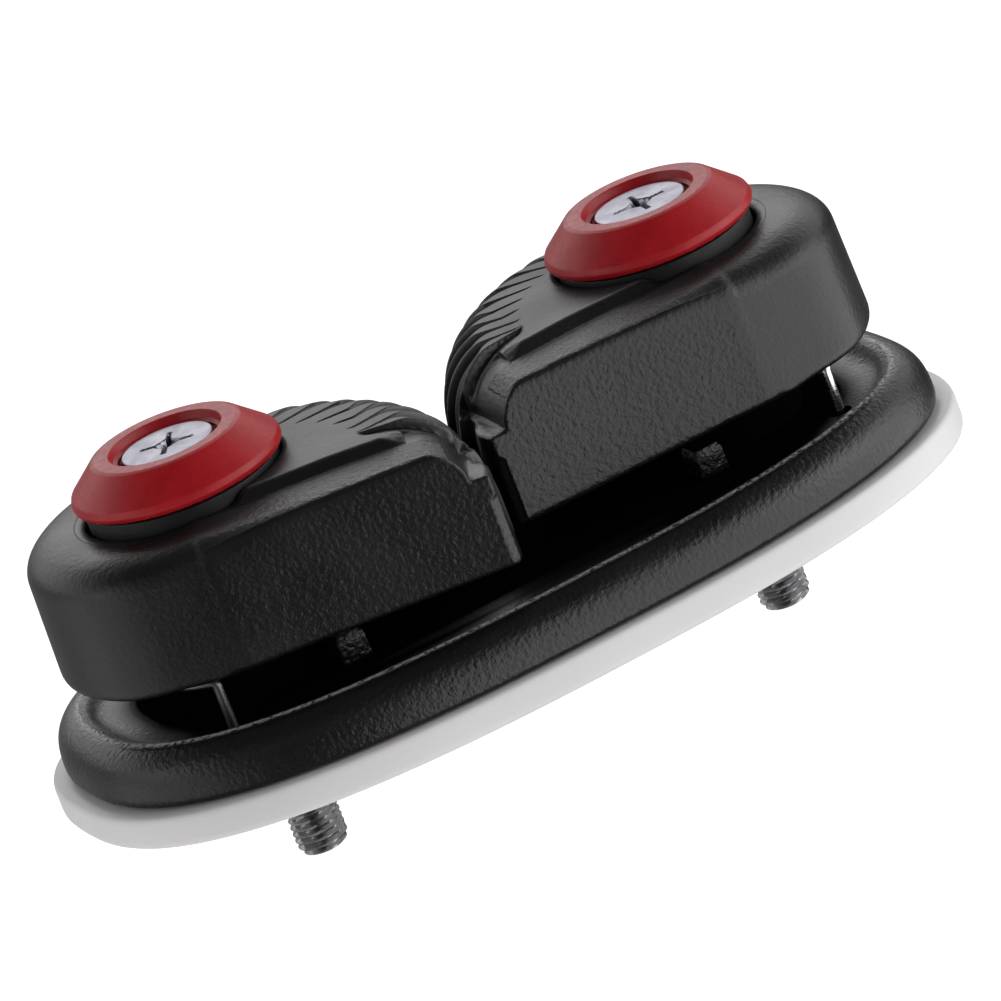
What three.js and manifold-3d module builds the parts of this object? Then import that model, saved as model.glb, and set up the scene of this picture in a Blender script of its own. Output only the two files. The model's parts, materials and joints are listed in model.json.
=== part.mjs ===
// Cam cleat on a riser pad. Millimetres, +Z up. The origin is the middle of the riser's underside.
// X runs through the two screws, and the cams' noses point to -Y, the side where the rope's tail is.
import * as THREE from "three";
import { mergeVertices } from "three/addons/utils/BufferGeometryUtils.js";
import Module from "manifold-3d";

const wasm = await Module();
wasm.setup();

// Driving dimensions
const HOLE_SPACING = 38;        // between the two screws
const SCREW_BORE = 2.2;         // radius of the clearance holes for M4
// The riser and the base are ovals: |x/a|^power + |y/b|^power = 1.
const OVAL = { power: 2.6, points: 72 };
const RISER = { a: 34.5, b: 18.3, top: 2.4 };
const BASE = { a: 33.3, b: 17.8, bottom: 2.5, floor: 5.4, top: 6.4, rimWidth: 3.2, rounding: 2 };
const CROWN = 0.92;             // the share of a full quarter that the rim's rounding reaches
const ROOT = 0.5;               // how deep the bosses and stops start below the tray's floor
const BOSS = { radius: 6, top: 9.4 };
const POST = { radius: 3.5, top: 19 };
const STOP = { x: 14.4, y: -7, width: 2.3, depth: 2.6, top: 7.5 };
const CAM = { bottom: 9.3, top: 19.9, endRadius: 12.1, frontY: -11.6, noseRadius: 22.5, noseCorner: 0.5 };
const BORE = { radius: 8.2, lipBottom: 18.1, lipRadius: 7.35 };
const SPIRAL = { start: -19, end: 78, runOut: 14, rate: 0.34, teeth: 9, toothDepth: 0.8, noseAngle: -30.7 };
// One tooth as (share of the pitch, share of the tooth depth): it drops at once and rises slowly.
const TOOTH_SHAPE = [[0, 0], [0.12, 1], [0.5, 0.75], [0.8, 0.3]];
// The toothed side leans back like a dome of this depth from this height. The round end has a shoulder.
const DOME = { depth: 5.6, start: 11.5 };
const SHOULDER = { depth: 4.2, start: 16.9 };
const LEAN_SHARE = 0.98;        // how much of its full quarter the lean reaches at the top
// Where the lean changes, in degrees from the nose's side: off the flat face, then to the round end at
// the back and at the front, and where the front's side starts to move in as well as along.
const LEAN = { face: [-30, -16], backEnd: [50, 115], frontEnd: [75, 125], faceEnd: [73, 100] };
const CREASE = { y: -6.6, faceTop: 19 };
const LEDGE = { x: 18.1, backY: -4, z: 16.2 };
const PAST = 12;                // how far a cut runs past what it cuts
// The spring's leg goes down at legAngle (degrees, seen on the right side) to legEnd, in a hole of the base.
const SPRING = { meanRadius: 10, wire: 0.36, turns: 2.5, pitch: 1.05, low: 8.95, legAngle: -57, legEnd: 3.6 };
const LEG_SHARE = 0.12;         // the leg's share of the spring's path
const SPRING_HOLE = { radius: 0.85, bottom: 3.1 };
const SPRING_RECESS = { inner: 9.05, outer: 10.95, top: 12.8 };
const BALL = { radius: 1.5875, pitchRadius: 6.5, perRow: 11, rows: [12.9, 16.2] };
const SLEEVE = { inner: 3.65, outer: 4.8, bottom: 11.2, top: 18.9 };
const LOWER_RACE = { inner: 3.65, outer: 8, bottom: 9.5, top: 11.1 };
const UPPER_RACE = { inner: 5.05, outer: 7, bottom: 17.95, top: 20.2 };
// The cap as (radius, height): a plug in the race, a brim, a cone, and the seat of the screw.
const CAP_PROFILE = [
  [2.25, 19.2], [4.8, 19.2], [4.8, 20.35], [6.9, 20.35], [7.4, 20.5], [7.6, 20.8], [7.5, 21.15],
  [5.35, 23.15], [5.2, 23.2], [4.05, 23.2], [3.85, 22.6], [3.6, 22.5], [3.6, 22.35], [2.25, 20.85],
];
const SCREW = { head: 3.3, headTop: 22.75, headEdge: 0.35, neck: 20.9, shank: 1.95, tip: -8.7, point: 0.5 };
const CROSS_RECESS = { armLength: 1.95, halfWidth: 0.27, depth: 1.5 };
const SCREW_TURN = { left: 59, right: -5 };
// How far each cam is turned away from square at rest, in degrees, towards -Y.
const REST = { left: 17.2, right: -2.5 };

const MATERIALS = {
  coating: { color: 0x1c1c1d, roughness: 0.45, metalness: 0.2 },
  redPlastic: { color: 0xa01822, roughness: 0.4, metalness: 0 },
  whitePlastic: { color: 0xe9e9e8, roughness: 0.5, metalness: 0 },
  blackPlastic: { color: 0x141414, roughness: 0.5, metalness: 0 },
  steel: { color: 0xb9bac0, roughness: 0.3, metalness: 1 },
  ball: { color: 0xd8d2c4, roughness: 0.35, metalness: 0 },
};

const radians = THREE.MathUtils.degToRad;
const group = new THREE.Group();

// ---- solids -----------------------------------------------------------------------------------

function toSolid(geometry) {
  const bare = geometry.clone();
  bare.deleteAttribute("normal");
  bare.deleteAttribute("uv");
  const merged = mergeVertices(bare, 1e-5);
  return new wasm.Manifold(new wasm.Mesh({
    numProp: 3,
    vertProperties: new Float32Array(merged.attributes.position.array),
    triVerts: new Uint32Array(merged.index.array),
  }));
}

function toGeometry(solid) {
  const mesh = solid.getMesh();
  const geometry = new THREE.BufferGeometry();
  geometry.setAttribute("position", new THREE.BufferAttribute(mesh.vertProperties, mesh.numProp));
  geometry.setIndex(new THREE.BufferAttribute(mesh.triVerts, 1));
  geometry.computeVertexNormals();
  return geometry;
}

function warp(geometry, move) {
  const position = geometry.attributes.position;
  const point = new THREE.Vector3();
  for (let i = 0; i < position.count; i += 1) {
    point.fromBufferAttribute(position, i);
    move(point);
    position.setXYZ(i, point.x, point.y, point.z);
  }
  return geometry;
}

// A closed ring or plug turned about Z from (radius, height) pairs.
function turned(profile, segments = 32) {
  const points = profile.map(([radius, height]) => new THREE.Vector2(radius, height));
  if (profile[0][0] > 0) {
    points.push(points[0].clone());
  }
  const geometry = new THREE.LatheGeometry(points, segments);
  geometry.rotateX(Math.PI / 2);
  return toSolid(geometry);
}

function pillar(radius, low, high, x = 0, y = 0, segments = 24) {
  const geometry = new THREE.CylinderGeometry(radius, radius, high - low, segments);
  geometry.rotateX(Math.PI / 2);
  geometry.translate(x, y, (low + high) / 2);
  return toSolid(geometry);
}

function block(x0, x1, y0, y1, z0, z1) {
  const geometry = new THREE.BoxGeometry(x1 - x0, y1 - y0, z1 - z0);
  geometry.translate((x0 + x1) / 2, (y0 + y1) / 2, (z0 + z1) / 2);
  return toSolid(geometry);
}

function extruded(shape, low, high, steps = 1, curveSegments = 24) {
  const options = { depth: high - low, steps, bevelEnabled: false, curveSegments };
  const geometry = new THREE.ExtrudeGeometry(shape, options);
  geometry.translate(0, 0, low);
  return geometry;
}

function addMesh(name, solid, materialName, place = {}) {
  const mesh = new THREE.Mesh(toGeometry(solid), new THREE.MeshStandardMaterial(MATERIALS[materialName]));
  mesh.name = name;
  mesh.position.set(place.x ?? 0, place.y ?? 0, place.z ?? 0);
  mesh.rotation.z = place.turn ?? 0;
  group.add(mesh);
}

// ---- riser and base ---------------------------------------------------------------------------

// An oval plug whose side moves in by inset(z), square to the oval.
function ovalPlug(a, b, low, high, steps, inset) {
  const points = [];
  for (let i = 0; i < OVAL.points; i += 1) {
    const cos = Math.cos(i * 2 * Math.PI / OVAL.points);
    const sin = Math.sin(i * 2 * Math.PI / OVAL.points);
    const x = a * Math.sign(cos) * Math.abs(cos) ** (2 / OVAL.power);
    const y = b * Math.sign(sin) * Math.abs(sin) ** (2 / OVAL.power);
    points.push(new THREE.Vector2(x, y));
  }
  return toSolid(warp(extruded(new THREE.Shape(points), low, high, steps), (point) => {
    const slopeX = Math.sign(point.x) * Math.abs(point.x / a) ** (OVAL.power - 1) / a;
    const slopeY = Math.sign(point.y) * Math.abs(point.y / b) ** (OVAL.power - 1) / b;
    const normal = new THREE.Vector2(slopeX, slopeY).normalize();
    point.x -= normal.x * inset(point.z);
    point.y -= normal.y * inset(point.z);
  }));
}

function riserPad() {
  let pad = ovalPlug(RISER.a, RISER.b, 0, RISER.top, 1, () => 0);
  for (const x of [-HOLE_SPACING / 2, HOLE_SPACING / 2]) {
    pad = pad.subtract(pillar(SCREW_BORE, -1, RISER.top + 1, x));
  }
  return pad;
}

// How far a quarter-round of this radius has turned in at a height above its start.
function quarterRound(radius, height) {
  const rise = THREE.MathUtils.clamp(height / radius, 0, 1);
  return radius * (1 - Math.sqrt(1 - rise ** 2));
}

function basePlate() {
  const { a, b, bottom, floor, top, rimWidth, rounding } = BASE;
  const outer = (z) => quarterRound(rounding, (z - top + rounding) * CROWN);
  const inner = (z) => -quarterRound(rounding / 2, (z - top + rounding / 2) * CROWN);
  let plate = ovalPlug(a, b, bottom, top, 5, outer);
  plate = plate.subtract(ovalPlug(a - rimWidth, b - rimWidth, floor, top + 0.01, 4, inner));
  for (const side of [-1, 1]) {
    const x = side * HOLE_SPACING / 2;
    plate = plate.add(pillar(BOSS.radius, floor - ROOT, BOSS.top, x));
    plate = plate.add(pillar(POST.radius, floor, POST.top, x));
    plate = plate.subtract(pillar(SCREW_BORE, bottom - 1, POST.top + 1, x));
    const stopX = side * STOP.x;
    const halfWidth = STOP.width / 2;
    const halfDepth = STOP.depth / 2;
    plate = plate.add(block(stopX - halfWidth, stopX + halfWidth,
      STOP.y - halfDepth, STOP.y + halfDepth, floor - ROOT, STOP.top));
    const leg = radians(SPRING.legAngle);
    const legX = x + side * SPRING.meanRadius * Math.cos(leg);
    const legY = SPRING.meanRadius * Math.sin(leg);
    plate = plate.subtract(pillar(SPRING_HOLE.radius, SPRING_HOLE.bottom, top, legX, legY, 16));
  }
  return plate;
}

// ---- cams: drawn about their pivot with the nose towards +X and the flat face towards -Y --------

function spiralRadius(angle) {
  return CAM.noseRadius * Math.exp(-SPIRAL.rate * radians(angle - SPIRAL.noseAngle));
}

// The toothed side, from the nose round to the back: each tooth rises slowly and drops at once.
function toothedSide() {
  const pitch = (SPIRAL.end - SPIRAL.start) / SPIRAL.teeth;
  const points = [];
  for (let tooth = 0; tooth < SPIRAL.teeth; tooth += 1) {
    for (const [share, depth] of TOOTH_SHAPE) {
      const angle = SPIRAL.start + (tooth + share) * pitch;
      const radius = spiralRadius(angle) - depth * SPIRAL.toothDepth;
      points.push(new THREE.Vector2(radius * Math.cos(radians(angle)), radius * Math.sin(radians(angle))));
    }
  }
  return points;
}

function camOutline() {
  const noseX = Math.sqrt(CAM.noseRadius ** 2 - CAM.frontY ** 2);
  const backAngle = radians(SPIRAL.end + SPIRAL.runOut);
  const outline = new THREE.Shape();
  const frontAngle = Math.asin(CAM.frontY / CAM.endRadius);
  outline.moveTo(noseX - CAM.noseCorner, CAM.frontY);
  outline.lineTo(noseX, CAM.frontY + CAM.noseCorner);
  for (const point of toothedSide()) {
    outline.lineTo(point.x, point.y);
  }
  outline.absarc(0, 0, CAM.endRadius, backAngle, 2 * Math.PI + frontAngle);
  return outline;
}

// Leans the side in as it rises: the dome over the teeth, none on the flat face, the shoulder at the end.
function leanCam(point) {
  const { lerp, smoothstep, clamp, radToDeg } = THREE.MathUtils;
  const angle = radToDeg(Math.atan2(point.y, point.x));
  const toEnd = angle > 0 ? smoothstep(angle, ...LEAN.backEnd) : smoothstep(-angle, ...LEAN.frontEnd);
  const fromFace = smoothstep(angle, ...LEAN.face);
  const depth = lerp(DOME.depth * fromFace, SHOULDER.depth, toEnd);
  const start = lerp(DOME.start, SHOULDER.start, toEnd);
  const rise = clamp((point.z - start) / (CAM.top - start), 0, 1);
  const lean = depth * (1 - Math.sqrt(1 - LEAN_SHARE * rise ** 2));
  const radius = Math.hypot(point.x, point.y);
  const keepFaceFlat = angle > 0 ? 1 : smoothstep(-angle, ...LEAN.faceEnd);
  point.x -= point.x / radius * lean;
  point.y -= point.y / radius * lean * keepFaceFlat;
}

function camBody(side) {
  let cam = toSolid(warp(extruded(camOutline(), CAM.bottom, CAM.top, 6, 14), leanCam));
  cam = cam.subtract(pillar(BORE.radius, CAM.bottom - 1, BORE.lipBottom, 0, 0, 36));
  cam = cam.subtract(pillar(BORE.lipRadius, CAM.bottom - 1, CAM.top + 1, 0, 0, 36));
  const { inner, outer, top } = SPRING_RECESS;
  const low = CAM.bottom - 1;
  cam = cam.subtract(turned([[inner, low], [outer, low], [outer, top], [inner, top]], 36));
  const { x, backY, z } = LEDGE;
  cam = cam.subtract(frontBevel());
  cam = cam.subtract(block(x, x + PAST, CAM.frontY - PAST, backY, z, z + PAST));
  return side < 0 ? cam : mirrored(cam);
}

// The shallow slope from the flat top down to the top of the front face.
function frontBevel() {
  const run = CREASE.y - CAM.frontY;
  const drop = CAM.top - CREASE.faceTop;
  const reach = 4;      // times the slope's own run and drop
  const section = new THREE.Shape();
  section.moveTo(CREASE.y, CAM.top);
  section.lineTo(CREASE.y - run * reach, CAM.top - drop * reach);
  section.lineTo(CREASE.y - run * reach, CAM.top + PAST);
  section.lineTo(CREASE.y, CAM.top + PAST);
  const geometry = extruded(section, -CAM.noseRadius - PAST, CAM.noseRadius + PAST);
  geometry.rotateX(Math.PI / 2);
  geometry.rotateZ(Math.PI / 2);
  return toSolid(geometry);
}

// The same solid with X turned round: the corners of each face change order to keep it outward.
function mirrored(solid) {
  const geometry = warp(toGeometry(solid), (point) => {
    point.x = -point.x;
  });
  const corners = geometry.index.array;
  for (let i = 0; i < corners.length; i += 3) {
    [corners[i + 1], corners[i + 2]] = [corners[i + 2], corners[i + 1]];
  }
  return toSolid(geometry);
}

// ---- bearings, caps, screws and springs ---------------------------------------------------------

const ring = ({ inner, outer, bottom, top }) => turned([
  [inner, bottom], [outer, bottom], [outer, top], [inner, top],
]);

const ball = () => toSolid(new THREE.SphereGeometry(BALL.radius, 8, 5));

function screw() {
  const { head, headTop, headEdge, neck, shank, tip, point } = SCREW;
  const body = turned([
    [0, tip], [shank - point, tip], [shank, tip + point], [shank, neck], [head, headTop - headEdge],
    [head, headTop], [0, headTop],
  ], 24);
  const { armLength, halfWidth, depth } = CROSS_RECESS;
  const low = headTop - depth;
  return body
    .subtract(block(-armLength, armLength, -halfWidth, halfWidth, low, headTop + 1))
    .subtract(block(-halfWidth, halfWidth, -armLength, armLength, low, headTop + 1));
}

// A torsion spring round the boss: the lowest turn ends in a leg that drops into the base.
class SpringPath extends THREE.Curve {
  constructor(side) {
    super();
    this.side = side;
  }

  getPoint(t, target = new THREE.Vector3()) {
    const { meanRadius, turns, pitch, low, legEnd } = SPRING;
    const along = Math.max(0, (t - LEG_SHARE) / (1 - LEG_SHARE));
    const drop = Math.max(0, 1 - t / LEG_SHARE) * (low - legEnd);
    const angle = radians(SPRING.legAngle) + along * turns * 2 * Math.PI;
    const height = low - drop + along * turns * pitch;
    return target.set(this.side * meanRadius * Math.cos(angle), meanRadius * Math.sin(angle), height);
  }
}

function spring(side) {
  const section = new THREE.Shape();
  section.absarc(0, 0, SPRING.wire, 0, 2 * Math.PI);
  const options = { steps: 60, curveSegments: 4, extrudePath: new SpringPath(side) };
  return toSolid(new THREE.ExtrudeGeometry(section, options));
}

// ---- assembly -----------------------------------------------------------------------------------

addMesh("riser_pad", riserPad(), "whitePlastic");
addMesh("base_plate", basePlate(), "coating");

for (const [name, side] of [["left", -1], ["right", 1]]) {
  const x = side * HOLE_SPACING / 2;
  addMesh(`${name}_cam`, camBody(side), "coating", { x, turn: side * radians(REST[name]) });
  addMesh(`${name}_bearing_cap`, turned(CAP_PROFILE), "redPlastic", { x });
  addMesh(`${name}_upper_race`, ring(UPPER_RACE), "blackPlastic", { x });
  addMesh(`${name}_inner_race`, ring(SLEEVE), "redPlastic", { x });
  addMesh(`${name}_lower_race`, ring(LOWER_RACE), "blackPlastic", { x });
  addMesh(`${name}_screw`, screw(), "steel", { x, turn: radians(SCREW_TURN[name]) });
  addMesh(`${name}_torsion_spring`, spring(side), "steel", { x });
  BALL.rows.forEach((z, row) => {
    for (let i = 0; i < BALL.perRow; i += 1) {
      const angle = (i + row / 2) * 2 * Math.PI / BALL.perRow;
      const label = `${name}_ball_${row + 1}_${String(i + 1).padStart(2, "0")}`;
      addMesh(label, ball(), "ball", {
        x: x + BALL.pitchRadius * Math.cos(angle), y: BALL.pitchRadius * Math.sin(angle), z,
      });
    }
  });
}

export default group;
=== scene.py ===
import json
import math

import bmesh
import bpy
import numpy as np
from mathutils import Matrix, Vector

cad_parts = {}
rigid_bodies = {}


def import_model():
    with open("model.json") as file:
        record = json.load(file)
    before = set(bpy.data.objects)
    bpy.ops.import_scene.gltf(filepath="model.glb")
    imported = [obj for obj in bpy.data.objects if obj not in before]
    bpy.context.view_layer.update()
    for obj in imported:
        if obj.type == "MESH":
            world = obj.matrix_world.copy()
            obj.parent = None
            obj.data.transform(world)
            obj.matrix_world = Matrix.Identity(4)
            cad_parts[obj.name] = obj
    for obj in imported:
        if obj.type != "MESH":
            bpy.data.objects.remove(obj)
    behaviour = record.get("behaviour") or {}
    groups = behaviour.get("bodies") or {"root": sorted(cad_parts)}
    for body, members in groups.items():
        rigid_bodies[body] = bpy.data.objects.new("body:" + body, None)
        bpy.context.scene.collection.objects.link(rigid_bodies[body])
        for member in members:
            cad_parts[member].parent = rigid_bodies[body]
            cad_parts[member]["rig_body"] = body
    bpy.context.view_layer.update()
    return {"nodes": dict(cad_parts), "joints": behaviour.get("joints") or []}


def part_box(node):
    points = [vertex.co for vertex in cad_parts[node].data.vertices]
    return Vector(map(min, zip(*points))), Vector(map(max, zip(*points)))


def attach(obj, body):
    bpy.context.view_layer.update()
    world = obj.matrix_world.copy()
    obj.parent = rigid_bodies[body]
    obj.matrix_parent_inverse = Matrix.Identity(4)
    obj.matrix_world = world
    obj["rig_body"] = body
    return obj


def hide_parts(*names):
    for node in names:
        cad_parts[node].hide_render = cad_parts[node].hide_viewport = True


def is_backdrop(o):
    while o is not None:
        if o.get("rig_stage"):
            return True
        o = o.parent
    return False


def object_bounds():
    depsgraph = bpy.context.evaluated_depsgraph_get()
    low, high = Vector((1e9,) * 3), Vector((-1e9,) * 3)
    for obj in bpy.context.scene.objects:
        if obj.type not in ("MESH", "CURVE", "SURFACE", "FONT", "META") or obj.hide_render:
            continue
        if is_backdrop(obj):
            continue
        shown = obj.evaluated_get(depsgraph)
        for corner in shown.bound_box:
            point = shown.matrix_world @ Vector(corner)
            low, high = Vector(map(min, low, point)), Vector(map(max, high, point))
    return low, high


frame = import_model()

MM = 0.001
SIDES = {"left": -1, "right": 1}
PIVOT_X = {joint["child"].removesuffix("_cam_body"): joint["pos_m"][0] / MM
           for joint in frame["joints"] if joint["child"].endswith("_cam_body")}
REST_TURN = {"left": -17.2, "right": -2.5}      # degrees about Z that each cam is turned from square
SCREW_TURN = {"left": 59, "right": -5}
SCREW_HOLE = 2.2                # radius


def box_mm(node):
    low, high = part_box(node)
    return np.array(low) / MM, np.array(high) / MM


# ---- materials ------------------------------------------------------------------------------------
# Colours are linear, noise scales are per metre, and bump distances are metres.

COAT = (0.0065, 0.0065, 0.007)
COAT_DARK, COAT_PALE = (0.0040, 0.0040, 0.0043), (0.0068, 0.0068, 0.0072)
# painted light: the cams' flat places are painted paler where they catch the light
COAT_FLAT_TOP_PAINTED_LIGHT = (0.024, 0.024, 0.025)
# painted highlight along the tooth edges, the crease and the band in front of it
COAT_EDGE_HIGHLIGHT = (0.075, 0.075, 0.078)
# painted highlight along the base rim's crown
COAT_RIM_HIGHLIGHT = (0.40, 0.40, 0.405)
# painted shade inside the tray
COAT_TRAY_SHADE = (0.0025, 0.0025, 0.0028)
COAT_SPECULAR = 0.34
COAT_BUMP = 0.00016
PEEL_SCALE, GRAIN_SCALE, BLOTCH_SCALE = 2800, 7000, 160
ROUGH_BUMP, TRAY_BUMP = 3.5, 0.25       # the pebbles' height on the rough places and in the tray


def new_material(name, color, roughness, metallic=0.0, specular=0.5, **extra):
    material = bpy.data.materials.new(name)
    material.use_nodes = True
    shader = material.node_tree.nodes["Principled BSDF"]
    shader.inputs["Base Color"].default_value = (*color, 1)
    shader.inputs["Roughness"].default_value = roughness
    shader.inputs["Metallic"].default_value = metallic
    shader.inputs["Specular IOR Level"].default_value = specular
    for socket, value in extra.items():
        shader.inputs[socket.replace("_", " ")].default_value = value
    material.diffuse_color = (*color, 1)
    return material


class Nodes:
    """Short calls for building a material's node tree."""

    def __init__(self, material):
        self.tree = material.node_tree
        self.shader = self.tree.nodes["Principled BSDF"]
        self.position = self.tree.nodes.new("ShaderNodeTexCoord").outputs["Object"]

    def node(self, kind, **settings):
        node = self.tree.nodes.new(kind)
        for key, value in settings.items():
            if key in node.inputs:
                self.set(node.inputs[key], value)
            else:
                setattr(node, key, value)
        return node

    def set(self, socket, value):
        if isinstance(value, bpy.types.NodeSocket):
            self.tree.links.new(value, socket)
        else:
            socket.default_value = value

    def noise(self, scale, detail=2.0, roughness=0.5, vector=None):
        node = self.node("ShaderNodeTexNoise", Scale=scale, Detail=detail, Roughness=roughness)
        self.set(node.inputs["Vector"], vector or self.position)
        return node.outputs["Fac"]

    def ramp(self, value, low, high, out_low=0.0, out_high=1.0):
        node = self.tree.nodes.new("ShaderNodeMapRange")
        for key, v in zip(("Value", "From Min", "From Max", "To Min", "To Max"),
                          (value, low, high, out_low, out_high)):
            self.set(node.inputs[key], v)
        return node.outputs["Result"]

    def mix(self, factor, a, b):
        node = self.tree.nodes.new("ShaderNodeMix")
        node.data_type = "RGBA"
        self.set(node.inputs["Factor"], factor)
        self.set(node.inputs["A"], (*a, 1) if isinstance(a, tuple) else a)
        self.set(node.inputs["B"], (*b, 1) if isinstance(b, tuple) else b)
        return node.outputs["Result"]

    def math(self, operation, a, b):
        node = self.node("ShaderNodeMath", operation=operation)
        self.set(node.inputs[0], a)
        self.set(node.inputs[1], b)
        return node.outputs[0]

    def attribute(self, name):
        return self.node("ShaderNodeAttribute", attribute_name=name).outputs["Fac"]

    def bump(self, height, distance):
        node = self.node("ShaderNodeBump", Height=height, Strength=1.0, Distance=distance)
        self.set(self.shader.inputs["Normal"], node.outputs["Normal"])


def coating_material(name, pebble, grain, roughness, cam=False):
    """Black powder coating: orange-peel pebbles and a fine grain.

    On the cams the flat top and the teeth are painted paler as painted light, with painted highlights along
    the edges. On the base a painted highlight runs along the rim's crown, and the tray is painted dark as
    painted shade.
    """
    material = new_material(name, COAT, roughness, specular=COAT_SPECULAR)
    n = Nodes(material)
    peel = n.noise(PEEL_SCALE, 2.0, 0.5)
    fine = n.noise(GRAIN_SCALE, 2.0, 0.6)
    blotch = n.noise(BLOTCH_SCALE, 3.0, 0.55)
    height = n.math("ADD", n.math("MULTIPLY", peel, pebble), n.math("MULTIPLY", fine, grain))
    color = n.mix(n.ramp(blotch, 0.35, 0.7), COAT_DARK, COAT_PALE)
    rough = n.ramp(blotch, 0.3, 0.7, roughness - 0.03, roughness + 0.05)
    if cam:
        height = n.math("MULTIPLY", height, n.attribute("pebbles"))
        # painted light: the flat places are painted paler, then painted highlights go along the edges
        flat = n.attribute("flat_top")
        color = n.mix(flat, color, COAT_FLAT_TOP_PAINTED_LIGHT)
        # painted highlight along the edges
        color = n.mix(n.attribute("edge"), color, COAT_EDGE_HIGHLIGHT)
        rough = n.math("ADD", rough, n.math("MULTIPLY", flat, 0.06))
    else:
        # painted highlight along the rim's crown, broken up by the pebble noise
        broken_highlight = n.math("MULTIPLY", n.attribute("edge"), n.ramp(peel, 0.34, 0.54))
        color = n.mix(broken_highlight, color, COAT_RIM_HIGHLIGHT)
        height = n.math("MULTIPLY", height, n.ramp(n.attribute("rough"), 0.0, 1.0, 1.0, ROUGH_BUMP))
        # painted shade: the tray is darkened and its specular removed
        tray = n.attribute("tray")
        height = n.math("MULTIPLY", height, n.ramp(tray, 0.0, 1.0, 1.0, TRAY_BUMP))
        n.set(n.shader.inputs["Specular IOR Level"], n.ramp(tray, 0.0, 1.0, COAT_SPECULAR, 0.0))
        color = n.mix(tray, color, COAT_TRAY_SHADE)
    n.set(n.shader.inputs["Base Color"], color)
    n.set(n.shader.inputs["Roughness"], rough)
    n.bump(height, COAT_BUMP)
    return material


def red_material():
    material = new_material("red_cap_plastic", (0.32, 0.007, 0.011), 0.40, specular=0.25,
                            Subsurface_Weight=0.06, Subsurface_Scale=0.0008)
    n = Nodes(material)
    cloud = n.noise(420, 3.0, 0.6)
    scratch = n.noise(2600, 2.0, 0.7)
    color = n.mix(n.ramp(cloud, 0.3, 0.75), (0.29, 0.005, 0.009), (0.36, 0.010, 0.015))
    n.set(n.shader.inputs["Base Color"], color)
    n.set(n.shader.inputs["Roughness"], n.ramp(scratch, 0.3, 0.7, 0.33, 0.46))
    n.bump(n.math("ADD", n.math("MULTIPLY", cloud, 0.5), scratch), 0.00002)
    return material


def white_material():
    material = new_material("white_riser_plastic", (0.54, 0.54, 0.54), 0.42, specular=0.4,
                            Subsurface_Weight=0.15, Subsurface_Scale=0.002)
    n = Nodes(material)
    cloud = n.noise(55, 2.0, 0.5)
    fine = n.noise(3000, 2.0, 0.6)
    color = n.mix(n.ramp(cloud, 0.3, 0.7), (0.56, 0.56, 0.565), (0.60, 0.60, 0.60))
    n.set(n.shader.inputs["Base Color"], color)
    n.set(n.shader.inputs["Roughness"], n.ramp(fine, 0.3, 0.7, 0.38, 0.5))
    n.bump(fine, 0.000012)
    return material


def steel_material(name, color, roughness, streak):
    """Brushed steel: streak squeezes the brushing's noise along X, Y and Z."""
    material = new_material(name, color, roughness, metallic=1.0)
    n = Nodes(material)
    speck = n.noise(1800, 3.0, 0.6)
    lines = n.node("ShaderNodeMapping")
    n.set(lines.inputs["Vector"], n.position)
    lines.inputs["Scale"].default_value = streak
    brushed = n.noise(700, 3.0, 0.6, lines.outputs["Vector"])
    dark = tuple(c * 0.82 for c in color)
    n.set(n.shader.inputs["Base Color"], n.mix(n.ramp(speck, 0.3, 0.7), dark, color))
    n.set(n.shader.inputs["Roughness"], n.ramp(brushed, 0.3, 0.7, roughness - 0.08, roughness + 0.1))
    n.bump(brushed, 0.00001)
    return material


def plastic_material(name, color, roughness):
    material = new_material(name, color, roughness, specular=0.25)
    n = Nodes(material)
    grain = n.noise(1500, 3.0, 0.6)
    pale = tuple(min(1, c * 1.35) for c in color)
    n.set(n.shader.inputs["Base Color"], n.mix(n.ramp(grain, 0.3, 0.7), color, pale))
    n.set(n.shader.inputs["Roughness"], n.ramp(grain, 0.3, 0.7, roughness - 0.05, roughness + 0.08))
    n.bump(grain, 0.00002)
    return material


CAM_COATING = coating_material("black_cam_coating", 1.0, 0.16, 0.36, cam=True)
BASE_COATING = coating_material("black_base_coating", 0.42, 0.06, 0.30)
RED = red_material()
WHITE = white_material()
HEAD_STEEL = steel_material("satin_head_steel", (0.235, 0.23, 0.272), 0.36, (1, 1, 1))
THREAD_STEEL = steel_material("bright_thread_steel", (0.27, 0.27, 0.275), 0.3, (1, 1, 6))
# painted shade: the left spring is a darker copy of the spring steel because its leg sits in shade
SPRING_STEEL = {"left": steel_material("spring_wire_steel_painted_shade", (0.12, 0.12, 0.12), 0.4, (1, 1, 8)),
                "right": steel_material("spring_wire_steel", (0.72, 0.72, 0.73), 0.22, (1, 1, 8))}
COLLAR = plastic_material("dark_race_plastic", (0.008, 0.008, 0.0083), 0.5)
BALLS = plastic_material("ball_plastic", (0.55, 0.50, 0.42), 0.3)
SLEEVE = plastic_material("sleeve_plastic", (0.22, 0.012, 0.016), 0.4)


# ---- meshes ---------------------------------------------------------------------------------------

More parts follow.
